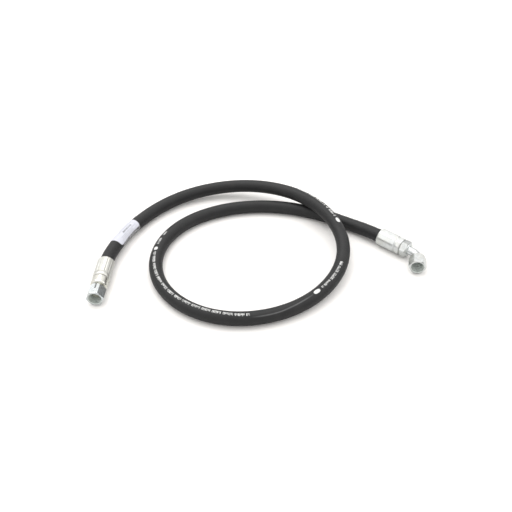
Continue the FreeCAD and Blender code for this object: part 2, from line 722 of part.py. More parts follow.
def make_elbow_tube():
    """Bent tube, from the stem's socket round the elbow into the seat nose."""
    radius = VALUE["elbow_bend_radius"]
    reach = radius * math.tan(math.radians(VALUE["elbow_angle"]) / 2)
    begin = RIGHT_MOUTH + RIGHT_OUT * (VALUE["hex_start"] + SOCKET_FLOOR + TUBE_END_GAP)
    end = ELBOW_NUT + ELBOW_OUT * (NOSE_SOCKET - NOSE_BACK - TUBE_END_GAP)
    bend_begin = ELBOW_CORNER - RIGHT_OUT * reach
    bend_end = ELBOW_CORNER + ELBOW_OUT * reach
    centre = bend_begin + RIGHT_OUT.cross(Vector(0, 0, 1)) * radius
    to_corner = ELBOW_CORNER - centre
    to_corner.normalize()
    path = path_object("elbow_tube_path", [
        Part.makeLine(begin, bend_begin),
        Part.Arc(bend_begin, centre + to_corner * radius, bend_end).toShape(),
        Part.makeLine(bend_end, end)])
    return pipe("elbow_tube", (path, begin, RIGHT_OUT), "elbow_tube_bore", "elbow_tube_radius")


def make_elbow_nose():
    body = new_body("elbow_seat_nose")
    revolve(body, "_turned", nose_points(dim(NOSE_BACK)) + [
        (FLOW, NOSE_SOCKET), (TUBE_SOCKET, NOSE_SOCKET), (TUBE_SOCKET, 1.8),
        (TUBE_SOCKET + 0.25, 1.0), (TUBE_SOCKET + 0.5, 0.0)])
    set_along(body, ELBOW_NUT - ELBOW_OUT * NOSE_BACK, ELBOW_OUT)
    return body


# ---------------------------------------------------------------- hose
# Each layer is cut at the two flex joints by a sphere round the joint's centre, so that the free
# end turns about that centre with the ball half of each layer inside the socket half.
BLOCK_RADIUS = 18.0      # cylinder that clears the hose upstream of a ball
BLOCK_LENGTH = 20.0
BALL_OVERLAP = 16.0      # how far a section starts before the joint, to form its ball


def make_ball(name, centre, radius):
    ball = doc.addObject("Part::Sphere", name)
    bind(ball, "Radius", radius)
    ball.Placement = Placement(centre, Rotation())
    return ball


def ball_tool(name, station):
    """What the downstream half loses: all upstream of the centre that is outside the ball."""
    centre, tangent = point_at(station), tangent_at(station)
    block = doc.addObject("Part::Cylinder", name + "_block")
    block.Radius = BLOCK_RADIUS
    block.Height = BLOCK_LENGTH
    block.Placement = Placement(centre - tangent * BLOCK_LENGTH,
                                Rotation(Vector(0, 0, 1), tangent))
    return cut(name, block, make_ball(name + "_ball", centre, "flex_ball_radius"))


def socket_tool(name, station):
    """What the upstream half loses: the ball and its clearance."""
    return make_ball(name, point_at(station), dim("flex_ball_radius") + dim("flex_gap"))


def make_hose(straight_stem, straight_ferrule, elbow_stem, elbow_ferrule):
    """Tube, braid and cover, each in a left, a loop and a right section."""
    left_at, right_at = VALUE["flex_left_station"], VALUE["flex_right_station"]
    left_path = spine("left_path", -VALUE["straight_hose_insert"], left_at)
    loop_path = spine("loop_path", left_at - BALL_OVERLAP, right_at)
    right_path = spine("right_path", right_at - BALL_OVERLAP,
                       HOSE_LENGTH + VALUE["elbow_hose_insert"])
    left_socket = socket_tool("left_socket", left_at)
    right_socket = socket_tool("right_socket", right_at)
    left_ball = ball_tool("left_ball", left_at)
    right_ball = ball_tool("right_ball", right_at)
    # side, path, joint tools, then what the barbs cut from the tube and the teeth from the cover
    sections = [
        ("left", left_path, [left_socket], [straight_stem], [straight_ferrule]),
        ("loop", loop_path, [left_ball, right_socket], [], []),
        ("right", right_path, [right_ball], [elbow_stem], [elbow_ferrule]),
    ]
    bore, tube, braid, cover = [
        dim(alias) * 0.5
        for alias in ("hose_bore_dia", "tube_outer_dia", "braid_outer_dia", "hose_outer_dia")]
    parts = []
    for side, path, joints, stems, ferrules in sections:
        for layer, inner, outer, fittings in (
                ("hose_tube", bore, tube, stems),
                ("hose_braid", tube, braid, []),
                ("hose_cover", braid, cover, ferrules)):
            name = layer + "_" + side
            run = pipe(name + "_run", path, inner, outer)
            tools = joints + fittings
            tool = tools[0]
            if len(tools) > 1:
                tool = doc.addObject("Part::Compound", name + "_tools")
                tool.Links = tools
            parts.append(cut(name, run, tool))
    return parts


def make_label():
    """Printed film round the hose, and the clear film over it."""
    label_path = spine("label_path", VALUE["label_from"], VALUE["label_to"])
    clear_path = spine("clear_path", VALUE["clear_from"], VALUE["clear_to"])
    on_cover = dim("hose_outer_dia") * 0.5 + dim("label_gap")
    label_top = on_cover + dim("label_skin")
    on_label = label_top + dim("label_gap")
    return [
        pipe("hose_label", label_path, on_cover, label_top),
        pipe("label_clear_tail", clear_path, on_label, on_label + dim("clear_skin"))]


# ---------------------------------------------------------------- build, check and write
straight_parts = [make_straight_ferrule(), make_straight_stem()]
straight_parts += make_swivel("straight", STRAIGHT_NUT, LEFT_OUT)
elbow_parts = [make_elbow_ferrule(), make_elbow_stem(), make_elbow_tube(), make_elbow_nose()]
elbow_parts += make_swivel("elbow", ELBOW_NUT, ELBOW_OUT)
hose_parts = make_hose(
    straight_stem=straight_parts[1], straight_ferrule=straight_parts[0],
    elbow_stem=elbow_parts[1], elbow_ferrule=elbow_parts[0])
nodes = hose_parts + make_label() + straight_parts + elbow_parts

doc.recompute()
for item in doc.Objects:
    if "Invalid" in item.State or "Error" in item.State:
        raise RuntimeError("%s failed: %s" % (item.Name, item.State))
for node in nodes:
    shape = node.Shape
    if shape.isNull() or not shape.isValid() or len(shape.Solids) != 1:
        raise RuntimeError("%s is not one valid solid" % node.Label)
os.makedirs("parts", exist_ok=True)
for node in nodes:
    node.Shape.exportStep("parts/%s.step" % node.Label)
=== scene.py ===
# A wrapped rubber hose, coiled a little under one and a half turns on the floor (z = 0).
# It starts on the -X side with a straight fitting, heads towards +Y and turns clockwise seen
# from above; its far end carries an elbow fitting. A printed label under a clear film wraps the
# straight end. Hose sizes are in millimetres, scene sizes in metres, +Z is up.
#
# A place on the hose is given by its station (distance along the centreline from the straight
# end) and its angle about the centreline (0 at the top, positive outward of the coil).
import json
import math
from bisect import bisect_left
from functools import reduce

import bpy
import numpy as np
from mathutils import Matrix, Vector


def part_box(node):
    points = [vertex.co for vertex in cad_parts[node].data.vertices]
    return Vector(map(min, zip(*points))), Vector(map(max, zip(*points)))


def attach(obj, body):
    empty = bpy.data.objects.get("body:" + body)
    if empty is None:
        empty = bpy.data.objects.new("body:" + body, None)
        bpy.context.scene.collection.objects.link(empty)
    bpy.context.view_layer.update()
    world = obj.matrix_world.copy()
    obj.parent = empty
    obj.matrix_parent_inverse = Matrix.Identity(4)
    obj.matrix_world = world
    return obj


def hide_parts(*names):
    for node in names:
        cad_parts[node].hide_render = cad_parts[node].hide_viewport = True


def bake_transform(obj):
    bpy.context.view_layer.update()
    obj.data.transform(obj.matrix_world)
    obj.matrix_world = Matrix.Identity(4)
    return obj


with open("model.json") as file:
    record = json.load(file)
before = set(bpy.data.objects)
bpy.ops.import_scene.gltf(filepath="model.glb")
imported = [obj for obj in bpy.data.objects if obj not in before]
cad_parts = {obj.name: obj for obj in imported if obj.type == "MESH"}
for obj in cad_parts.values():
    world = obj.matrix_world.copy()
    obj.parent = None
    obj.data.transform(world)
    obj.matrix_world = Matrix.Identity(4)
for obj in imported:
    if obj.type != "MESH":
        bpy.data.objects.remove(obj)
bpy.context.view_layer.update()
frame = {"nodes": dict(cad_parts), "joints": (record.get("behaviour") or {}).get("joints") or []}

NODES = frame["nodes"]
JOINTS = {joint["name"]: joint for joint in frame["joints"]}
scene = bpy.context.scene
MM = 0.001              # metres in a millimetre
MM_TO_UV = 0.01         # the "lay" UV map holds (station, arc) in decimetres
UV_TO_MM = (100.0, 100.0, 1.0)

# ------------------------------------------------------------------ hose sizes, millimetres
BORE_RADIUS = 6.35
TUBE_RADIUS = 7.85      # inner rubber tube
BRAID_RADIUS = 8.65     # nominal; the cords themselves stay just below it
COVER_RADIUS = 9.9
LAYER_GAP = 0.03
CORDS = 12              # braid cords in each of the two directions
CORD_TWIST = 0.9        # how fast the cords spiral, radians per mm
INSERT_LEFT, INSERT_RIGHT = 31.0, 28.0      # hose hidden inside each ferrule
SEAM_LEFT, SEAM_RIGHT = 268.0, 1274.0       # stations where the lengths of hose meet
LEFT_ZONE = (159.0, 259.0)                  # where the straight end bends
RIGHT_ZONE = (1283.0, 1343.0)               # where the elbow end bends

# ------------------------------------------------------------------ lay of the hose
LAY_START = (-222.904, -36.658)
LAY_HEADING = 86.808    # degrees from +X
LAY_STEP = 0.5          # spacing of the computed centreline points
REST_HEIGHT = COVER_RADIUS      # centreline height where the hose lies on the floor
END_HEIGHT = 13.3               # and where it enters the fittings
LEFT_RUN, RIGHT_RUN = 150.0, 70.0           # lengths over which the ends come down
# the hump where the hose crosses over itself, faded in from the straight end
CROSS_AT, CROSS_RISE, CROSS_RUN, CROSS_FADE = 420.7, 20.2, 150.0, 140.0
# (station, bend in milliradians per mm; negative turns clockwise)
LAY = [
    (0, -9.7), (14, -7.36), (30, -4.12), (52, -2.97), (80, -3.94), (135, -4.92),
    (215, -6.71), (295, -6.6), (376, -4.91), (456, -6.24), (536, -8.53), (617, -6.53),
    (697, -6.31), (778, -7.81), (858, -8.32), (938, -8.37), (1019, -8.05), (1089, -6.34),
    (1159, -5.21), (1220, -4.79), (1280, -3.45), (1320, -2.69), (1355, -2.13), (1374, -1.64),
]
STATIONS = [float(station) for station, bend in LAY]
BENDS = [bend / 1000.0 for station, bend in LAY]
LENGTH = STATIONS[-1]


def smooth(value):
    """Smoothstep of a number or array, held to 0..1."""
    value = np.clip(value, 0.0, 1.0)
    return value * value * (3 - 2 * value)


def bend_slopes():
    """Slopes at the stations for a cubic through the bends that doesn't overshoot."""
    step = [b - a for a, b in zip(STATIONS, STATIONS[1:])]
    rise = [(BENDS[i + 1] - BENDS[i]) / step[i] for i in range(len(step))]
    slopes = [rise[0]]
    for i in range(1, len(rise)):
        if rise[i - 1] * rise[i] <= 0:
            slopes.append(0.0)
        else:
            before, after = 2 * step[i] + step[i - 1], step[i] + 2 * step[i - 1]
            slopes.append((before + after) / (before / rise[i - 1] + after / rise[i]))
    slopes.append(rise[-1])
    return slopes


SLOPES = bend_slopes()


def bend_at(station):
    """Bend in radians per mm: a Hermite cubic between the table's stations."""
    i = max(bisect_left(STATIONS, station) - 1, 0)
    width = STATIONS[i + 1] - STATIONS[i]
    t = (station - STATIONS[i]) / width
    return ((2 * t ** 3 - 3 * t ** 2 + 1) * BENDS[i]
            + (t ** 3 - 2 * t ** 2 + t) * width * SLOPES[i]
            + (3 * t ** 2 - 2 * t ** 3) * BENDS[i + 1]
            + (t ** 3 - t ** 2) * width * SLOPES[i + 1])


def height_at(station):
    hump = CROSS_RISE * math.exp(-((station - CROSS_AT) / CROSS_RUN) ** 2)
    ends = smooth(1 - station / LEFT_RUN) + smooth(1 - (LENGTH - station) / RIGHT_RUN)
    return (REST_HEIGHT + hump * (1 - smooth(1 - station / CROSS_FADE))
            + (END_HEIGHT - REST_HEIGHT) * ends)


def walk():
    """Centreline points and headings, one for every LAY_STEP of the hose."""
    x, y = LAY_START
    heading = math.radians(LAY_HEADING)
    points, headings = [(x, y, height_at(0.0))], [heading]
    for i in range(int(round(LENGTH / LAY_STEP))):
        middle = heading + bend_at((i + 0.25) * LAY_STEP) * LAY_STEP / 2
        x += math.cos(middle) * LAY_STEP
        y += math.sin(middle) * LAY_STEP
        heading += bend_at((i + 0.5) * LAY_STEP) * LAY_STEP
        points.append((x, y, height_at((i + 1) * LAY_STEP)))
        headings.append(heading)
    return np.array(points), np.array(headings)


POINTS, HEADINGS = walk()
POINT_STATIONS = np.arange(len(POINTS)) * LAY_STEP


def centre(station):
    """Centreline points at an array of stations; straight on past both ends."""
    station = np.asarray(station, float)
    inside = np.clip(station, 0, LENGTH)
    point = np.stack([np.interp(inside, POINT_STATIONS, POINTS[:, k]) for k in range(3)], -1)
    heading = np.interp(inside, POINT_STATIONS, HEADINGS)
    over = (station - inside)[:, None]
    return point + over * np.stack([np.cos(heading), np.sin(heading), 0 * heading], -1)


def frames(station):
    """Centre, tangent, left (outward of the coil) and up vectors at an array of stations."""
    tangent = centre(station + 1.0) - centre(station - 1.0)
    tangent /= np.linalg.norm(tangent, axis=1)[:, None]
    left = np.cross(np.array([0.0, 0.0, 1.0]), tangent)
    left /= np.linalg.norm(left, axis=1)[:, None]
    return centre(station), tangent, left, np.cross(tangent, left)


def require_lay_inside(node, first, last):
    """Stops the build if the centreline leaves the CAD solid it stands for."""
    low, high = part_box(node)
    points = centre(np.arange(first, last, 2.0))
    slack = 0.001
    if ((points.max(0)[:2] * MM > np.array(high)[:2] + slack).any()
            or (points.min(0)[:2] * MM < np.array(low)[:2] - slack).any()):
        raise ValueError("the hose lay and the CAD solid %s disagree" % node)


require_lay_inside("hose_cover_loop", 209, 1313)
require_lay_inside("hose_cover_left", 20, 190)


# ------------------------------------------------------------------ mesh helpers
def new_object(name, verts, faces, smooth_faces=True):
    mesh = bpy.data.meshes.new(name)
    mesh.from_pydata([tuple(vert) for vert in verts], [], faces)
    mesh.update()
    if smooth_faces:
        mesh.polygons.foreach_set("use_smooth", [True] * len(mesh.polygons))
    obj = bpy.data.objects.new(name, mesh)
    scene.collection.objects.link(obj)
    return obj


def face_out(mesh):
    """Turns a closed mesh outwards, by the sign of its volume."""
    mesh.calc_loop_triangles()
    points = np.empty(len(mesh.vertices) * 3)
    mesh.vertices.foreach_get("co", points)
    triangles = np.empty(len(mesh.loop_triangles) * 3, np.int32)
    mesh.loop_triangles.foreach_get("vertices", triangles)
    a, b, c = (points.reshape(-1, 3)[triangles.reshape(-1, 3)[:, k]] for k in range(3))
    if float((a * np.cross(b, c)).sum()) < 0:
        mesh.flip_normals()


def add_lay_uv(obj, corners):
    layer = obj.data.uv_layers.new(name="lay")
    layer.data.foreach_set("uv", np.asarray(corners, np.float32).ravel())


# corners of a grid cell as (row, column) steps, for the two sides of a surface
CELL = ((0, 0), (0, 1), (1, 1), (1, 0))
CELL_REVERSED = ((0, 0), (1, 0), (1, 1), (0, 1))


def skin_normals(radius, station, angle, tangent, out, turn):
    """Unit normals of a skin, from the slopes of its radius along and around the hose."""
    along = radius(station + 0.5, angle) - radius(station - 0.5, angle)
    around = (radius(station, angle + 0.01) - radius(station, angle - 0.01)) / 0.02
    normal = (out - along[..., None] * tangent[:, None, :]
              - (around / radius(station, angle))[..., None] * turn)
    normal /= np.linalg.norm(normal, axis=-1)[..., None]
    return normal.reshape(-1, 3)


def tube(name, stations, around, outer, inner):
    """A closed hose section: outer skin, inner skin and two end faces.
    outer and inner give radii for grids of stations and angles."""
    rows = len(stations)
    centres, tangent, left, up = frames(stations)
    angles = np.linspace(-math.pi, math.pi, around, endpoint=False)
    station, angle = np.meshgrid(stations, angles, indexing="ij")
    sine, cosine = np.sin(angle)[..., None], np.cos(angle)[..., None]
    out = cosine * up[:, None, :] + sine * left[:, None, :]
    turn = -sine * up[:, None, :] + cosine * left[:, None, :]
    verts = np.concatenate([
        (centres[:, None, :] + radius(station, angle)[..., None] * out).reshape(-1, 3)
        for radius in (outer, inner)]) * MM

    edges = np.linspace(-math.pi, math.pi, around + 1)
    base = rows * around
    faces, uv = [], []

    def uv_at(i, j):
        return (stations[i] * MM_TO_UV, edges[j] * COVER_RADIUS * MM_TO_UV)

    for first, cell in ((0, CELL), (base, CELL_REVERSED)):
        for i in range(rows - 1):
            for j in range(around):
                corners = [(i + di, j + dj) for di, dj in cell]
                faces.append(tuple(first + a * around + b % around for a, b in corners))
                uv += [uv_at(*corner) for corner in corners]
    skin_faces = len(faces)
    for i in (0, rows - 1):
        for j in range(around):
            a, b = i * around + j, i * around + (j + 1) % around
            faces.append((a, base + a, base + b, b) if i == 0 else (a, b, base + b, base + a))
            uv += [uv_at(i, j)] * 4

    obj = new_object(name, verts, faces)
    mesh = obj.data
    add_lay_uv(obj, uv)
    for polygon in mesh.polygons[skin_faces:]:
        polygon.use_smooth = False
    mesh.validate()
    face_out(mesh)

    # the skin's own normals, so that two lengths shade as one hose across a seam
    normals = np.concatenate([
        skin_normals(outer, station, angle, tangent, out, turn),
        -skin_normals(inner, station, angle, tangent, out, turn)])
    loops = np.empty(len(mesh.loops), np.int32)
    mesh.loops.foreach_get("vertex_index", loops)
    split = normals[loops]
    first_end = skin_faces * 4
    last_end = first_end + around * 4
    split[first_end:last_end] = -tangent[0]
    split[last_end:] = tangent[-1]
    mesh.normals_split_custom_set([tuple(normal) for normal in split])
    return obj


# ------------------------------------------------------------------ hose pieces
# (change per mm, lobes around the hose, weight) of the waves that make the cover uneven
WANDER_WAVES = [(0.031, 1, 1.0), (0.083, 2, 0.7), (0.171, 3, 0.5), (0.37, 5, 0.32),
                (0.71, 8, 0.2)]
WANDER_PHASE = 0.3


def wander(station, angle):
    """A slow, repeatable unevenness, about -1 to 1."""
    total = 0 * station
    for k, (rate, lobes, weight) in enumerate(WANDER_WAVES):
        total = total + (
            weight * np.sin(rate * station + lobes * angle + 1.7 * k + WANDER_PHASE)
            * np.cos(0.61 * rate * station - (lobes + 1) * angle
                     + 2.3 * k * WANDER_PHASE + 0.4))
    return total / 1.6


def pinch(station):
    """1 inside a ferrule, 0 in the open."""
    inset, run = 1.2, 2.0
    return np.maximum(smooth((-station - inset) / run), smooth((station - LENGTH - inset) / run))


def cover_outer(station, angle):
    pinched_radius = 9.32
    body = COVER_RADIUS - 0.02 + 0.045 * wander(station, angle)
    # the wrapping tape leaves a low spiral ridge, every 31 mm, in the cured cover
    phase = (station / 31.0 - angle / (2 * math.pi)) % 1.0
    ridge = (np.exp(-((phase - 0.5) / 0.022) ** 2) * 0.05
             - 0.03 * np.clip((phase - 0.5) * 2, 0, 1))
    # a slight swelling just outside each ferrule
    swell = 0.10 * (np.exp(-((station - 3.5) / 3.0) ** 2)
                    + np.exp(-((station - LENGTH + 3.5) / 3.0) ** 2))
    inside = pinch(station)
    return (body + ridge + swell) * (1 - inside) + pinched_radius * inside


def braid_outer(station, angle):
    """Two crossing families of spiral cords."""
    one_way = np.sin(CORDS * angle + station * CORD_TWIST)
    other_way = np.sin(CORDS * angle - station * CORD_TWIST)
    return 8.52 + 0.09 * np.maximum(one_way, other_way)


def bore(station, angle):
    return BORE_RADIUS + 0.32 * pinch(station)


def plain(radius):
    return lambda station, angle: np.full_like(station, radius)


# (side, from station, to station, bodies, bend zone between them): a section without a zone
# moves with its one body; one with a zone is neither attached nor bent
SECTIONS = [
    ("left", -INSERT_LEFT, SEAM_LEFT, ("straight_end", "loop"), LEFT_ZONE),
    ("loop", SEAM_LEFT, SEAM_RIGHT, ("loop",), None),
    ("right", SEAM_RIGHT, LENGTH + INSERT_RIGHT, ("loop", "elbow_end"), RIGHT_ZONE),
]
# (layer, vertices around, step along in mm, outer radius, inner radius, material slot)
LAYERS = [
    ("hose_cover", 72, 1.25, cover_outer, plain(BRAID_RADIUS + LAYER_GAP), "cover_rubber"),
    ("hose_braid", 48, 2.0, braid_outer, plain(TUBE_RADIUS + LAYER_GAP), "textile_braid"),
    ("hose_tube", 32, 3.0, plain(TUBE_RADIUS), bore, "inner_rubber"),
]


def build_hose():
    """Every layer of every section; returns the pieces of each layer."""
    pieces = {layer[0]: [] for layer in LAYERS}
    for side, start, end, bodies, zone in SECTIONS:
        for layer, around, step, outer, inner, slot in LAYERS:
            stations = np.linspace(start, end, int(round((end - start) / step)) + 1)
            piece = tube("%s_%s_skin" % (layer, side), stations, around, outer, inner)
            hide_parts("%s_%s" % (layer, side))
            if zone is None:
                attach(piece, bodies[0])
            else:
                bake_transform(piece)
            pieces[layer].append(piece)
    return pieces


hose = build_hose()


# ------------------------------------------------------------------ label and its clear film
LABEL_FROM, LABEL_TO = 39.0, 96.0


def sheet(name, stations, degrees, shape, thick, rows, columns):
    """A thin curved sheet on the hose, between two stations and two angles.
    shape takes grids of u (along) and v (around), station and angle, and returns the
    shifted stations and angles with the radius of the sheet's underside."""
    u, v = np.meshgrid(np.linspace(0, 1, rows), np.linspace(0, 1, columns), indexing="ij")
    angle = np.radians(degrees[0] + (degrees[1] - degrees[0]) * v)
    station = stations[0] + (stations[1] - stations[0]) * u
    station, angle, underside = shape(u, v, station, angle)
    centres, _, left, up = frames(station.ravel())
    out = np.cos(angle).ravel()[:, None] * up + np.sin(angle).ravel()[:, None] * left
    verts = np.concatenate([centres + (underside + lift).ravel()[:, None] * out
                            for lift in (0.0, thick)]) * MM
    base = rows * columns
    faces, uv = [], []

    def index(corner):
        return corner[0] * columns + corner[1]

    def uv_at(corner):
        return (station[corner] * MM_TO_UV, angle[corner] * COVER_RADIUS * MM_TO_UV)

    for i in range(rows - 1):
        for j in range(columns - 1):
            corners = [(i + di, j + dj) for di, dj in CELL]
            faces.append(tuple(index(corner) for corner in corners))
            uv += [uv_at(corner) for corner in corners]
            faces.append(tuple(base + index(corner) for corner in reversed(corners)))
            uv += [uv_at(corner) for corner in reversed(corners)]
    rim = ([(i, 0) for i in range(rows)]
           + [(rows - 1, j) for j in range(1, columns)]
           + [(i, columns - 1) for i in range(rows - 2, -1, -1)]
           + [(0, j) for j in range(columns - 2, 0, -1)])
    for a, b in zip(rim, rim[1:] + rim[:1]):
        faces.append((index(a), index(b), base + index(b), base + index(a)))
        uv += [uv_at(a), uv_at(b), uv_at(b), uv_at(a)]

    obj = new_object(name, verts, faces)
    add_lay_uv(obj, uv)
    obj.data.validate()
    # faces outward whatever the direction the sheet was laid in
    bpy.context.view_layer.objects.active = obj
    obj.select_set(True)
    bpy.ops.object.mode_set(mode="EDIT")
    bpy.ops.mesh.select_all(action="SELECT")
    bpy.ops.mesh.normals_make_consistent(inside=False)
    bpy.ops.object.mode_set(mode="OBJECT")
    obj.select_set(False)
    return obj


def label_shape(u, v, station, angle):
    # the edge at v = 1 runs slightly askew, and its corners are rounded
    angle = angle - np.radians(9.0) * v ** 3 * (1 - u)
    rounding = 2.4 * np.clip((v - 0.93) / 0.07, 0, 1) ** 2
    station = station + rounding * (np.clip(1 - u * 8, 0, 1) - np.clip(1 - (1 - u) * 8, 0, 1))
    # fine ripples, and the last fifth lifting off the hose
    ripple = (0.045 * np.sin(9 * angle + 0.21 * station) * np.sin(0.33 * station + 2 * angle)
              + 0.03 * np.sin(0.9 * station))
    loose = np.clip((v - 0.80) / 0.20, 0, 1) ** 2
    lift = loose * (0.35 + 0.9 * np.exp(-((u - 0.06) / 0.16) ** 2)
                    + 0.35 * np.sin(5.5 * u) ** 2)
    return station, angle, COVER_RADIUS + 0.13 + ripple * (0.4 + 0.6 * v) + lift


def clear_shape(u, v, station, angle):
    # both ends and the edge at v = 1 run unevenly
    angle = angle - np.radians(7.0) * np.sin(3.1 * u + 0.4) * v
    station = station + 1.6 * np.sin(7.0 * v + 1.0) * (u - 0.5)
    # flat near v = 0, then bubbles and one raised fold
    under = np.clip(1 - v / 0.12, 0, 1)
    bubble = 0.16 * np.clip(np.sin(0.42 * station + 5 * angle)
                            * np.sin(0.19 * station - 3 * angle + 1.0), 0, 1)
    fold = 0.5 * np.exp(-((v - 0.34) / 0.10) ** 2) * np.clip((u - 0.45) / 0.4, 0, 1)
    radius = (COVER_RADIUS + 0.06 + (bubble + fold) * (1 - under)
              + 0.05 * np.sin(1.3 * station) * v)
    return station, angle, radius


label = sheet("hose_label_wrap", (LABEL_FROM, LABEL_TO), degrees=(176.0, -66.0),
              shape=label_shape, thick=0.12, rows=64, columns=110)
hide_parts("hose_label")
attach(label, "straight_end")

clear = sheet("label_clear_wrap", (LABEL_FROM + 7.0, LABEL_TO - 1.0), degrees=(-58.0, -168.0),
              shape=clear_shape, thick=0.05, rows=60, columns=60)
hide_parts("label_clear_tail")
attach(clear, "straight_end")


# ------------------------------------------------------------------ shader helpers
def unary(operation):
    return lambda self: self.graph.math(operation, self)


def binary(operation):
    return lambda self, other: self.graph.math(operation, self, other)


def swapped(operation):
    return lambda self, other: self.graph.math(operation, other, self)


class Value:
    """A node output. Arithmetic and comparisons on it each add one Math node."""

    def __init__(self, graph, socket):
        self.graph = graph
        self.socket = socket

    __add__, __radd__ = binary("ADD"), swapped("ADD")
    __sub__, __rsub__ = binary("SUBTRACT"), swapped("SUBTRACT")
    __mul__, __rmul__ = binary("MULTIPLY"), swapped("MULTIPLY")
    __truediv__ = binary("DIVIDE")
    __pow__ = binary("POWER")
    __lt__ = binary("LESS_THAN")
    __gt__ = binary("GREATER_THAN")
    __abs__ = unary("ABSOLUTE")
    floor = unary("FLOOR")
    fract = unary("FRACT")
    sine = unary("SINE")
    root = unary("SQRT")


class Graph:
    """Builds a node tree; its methods take plain numbers, tuples or Values."""

    def __init__(self, tree):
        self.tree = tree
        tree.nodes.clear()

    def put(self, value, socket):
        if isinstance(value, Value):
            self.tree.links.new(value.socket, socket)
        elif socket.type == "RGBA":
            socket.default_value = (*value, 1)
        else:
            socket.default_value = value

    def node(self, kind, inputs=None, **settings):
        node = self.tree.nodes.new("ShaderNode" + kind)
        for key, value in settings.items():
            setattr(node, key, value)
        for key, value in (inputs or {}).items():
            self.put(value, node.inputs[key])
        return node

    def value(self, kind, inputs=None, output=0, **settings):
        return Value(self, self.node(kind, inputs, **settings).outputs[output])

    def math(self, operation, *operands):
        return self.value("Math", dict(enumerate(operands)), operation=operation)

    def largest(self, values):
        return reduce(binary("MAXIMUM"), values)

    def between(self, value, low, high):
        """1 between low and high, with hard edges."""
        return (value > low) * (value < high)

    def scaled(self, vector, factors):
        return self.value("VectorMath", {0: vector, 1: factors}, operation="MULTIPLY")

    def dot(self, a, b):
        return self.value("VectorMath", {0: a, 1: b}, "Value", operation="DOT_PRODUCT")

    def mix(self, factor, a, b):
        """Colour mix; 6 and 7 are the Mix node's colour inputs."""
        return self.value("Mix", {0: factor, 6: a, 7: b}, 2, data_type="RGBA")

    def lerp(self, factor, a, b):
        """Number mix; 2 and 3 are the Mix node's float inputs."""
        return self.value("Mix", {0: factor, 2: a, 3: b}, data_type="FLOAT")

    def noise(self, vector, scale, detail, rough, distortion=0.0):
        return self.value("TexNoise", {"Vector": vector, "Scale": scale, "Detail": detail,
                                       "Roughness": rough, "Distortion": distortion},
                          noise_dimensions="3D")

    def white(self, value):
        return self.value("TexWhiteNoise", {"W": value}, noise_dimensions="1D")

    def ramp(self, value, low, high, to_low=0.0, to_high=1.0):
        """Smoothstep from to_low at low to to_high at high."""
        return self.value("MapRange", {0: value, 1: low, 2: high, 3: to_low, 4: to_high},
                          interpolation_type="SMOOTHSTEP")

    def band(self, value, low, high, soft):
        """1 between low and high, with soft edges."""
        return (self.ramp(value, low - soft, low + soft)
                * (1.0 - self.ramp(value, high - soft, high + soft)))

    def bump(self, height, distance, strength, **inputs):
        return self.value("Bump", {"Strength": strength, "Distance": distance,
                                   "Height": height, **inputs})

    def coords(self, output="Object"):
        return self.value("TexCoord", output=output)

    def glossy_ray(self):
        return self.value("LightPath", output="Is Glossy Ray")

    def lay(self):
        return self.value("UVMap", uv_map="lay")

    def split(self, vector):
        node = self.node("SeparateXYZ", {0: vector})
        return [Value(self, output) for output in node.outputs]

    def station_and_arc(self, lay):
        """Station and arc on the hose, in millimetres."""
        u, v, _ = self.split(lay)
        return u * 100.0, v * 100.0

    def course(self, station, table):
        """Arc, in millimetres, of a line that follows a table of (station, degrees)."""
        span = 1400.0       # stations 0..span and -90..90 degrees fill the curve's unit square
        curve = self.node("FloatCurve", {"Value": station / span})
        mapping = curve.mapping
        mapping.use_clip = False
        points = [(at / span, (degrees + 90.0) / 180.0) for at, degrees in table]
        line = mapping.curves[0]
        line.points[0].location = points[0]
        line.points[1].location = points[-1]
        for point in points[1:-1]:
            line.points.new(*point)
        mapping.update()
        degrees = Value(self, curve.outputs[0]) * 180.0 - 90.0
        return degrees * (COVER_RADIUS * math.pi / 180.0)


class Material(Graph):
    """A material's graph, with a Principled shader on its output."""

    def __init__(self, name):
        self.material = bpy.data.materials.new(name)
        self.material.use_nodes = True
        super().__init__(self.material.node_tree)
        self.output = self.node("OutputMaterial")
        self.principled = self.node("BsdfPrincipled")
        self.surface = Value(self, self.principled.outputs[0])
        self.put(self.surface, self.output.inputs[0])

    def set(self, **values):
        for key, value in values.items():
            self.put(value, self.principled.inputs[key.replace("_", " ")])


def wear(obj, graph):
    obj.data.materials.clear()
    obj.data.materials.append(graph.material)


# ------------------------------------------------------------------ cover rubber with its print
# (from, to) stations of the printed bars and of the solid oval marks between them
PRINT_RUNS = [
    (105, 122), (186, 196), (244, 252), (392, 450), (453, 458), (461, 477), (572, 631),
    (743, 957), (974, 988), (995, 1004), (1150, 1166), (1290, 1368),
]
PRINT_BLOBS = [(481, 491), (635.5, 646.5), (960, 967)]
# (station, degrees outward of the top) followed by the print and by the painted highlight streak
PRINT_ANGLE = [
    (0, 52), (105, 44), (200, 44), (392, 29), (436, 23), (463, 15), (486, 17), (570, 10),
    (604, 11), (641, 9), (700, 9), (745, 13), (785, 3), (815, 1), (850, 5), (900, 9),
    (950, 13), (1000, 18), (1150, 38), (1290, 33), (1374, 32),
]
STREAK_ANGLE = [(640, 11), (653, 14), (664, 17), (688, 27), (710, 36), (742, 38), (760, 38)]
BAR_PITCH, GROUP_PITCH = 1.85, 15.3
BAR_SHORT, BAR_TALL = 1.55, 2.05        # half heights
BLOB_HALF_HEIGHT, BLOB_POWER = 3.0, 2.4
THREAD_PITCH, CLOTH_PITCH = 0.62, 4.1   # the cloth's threads and its turns along the hose


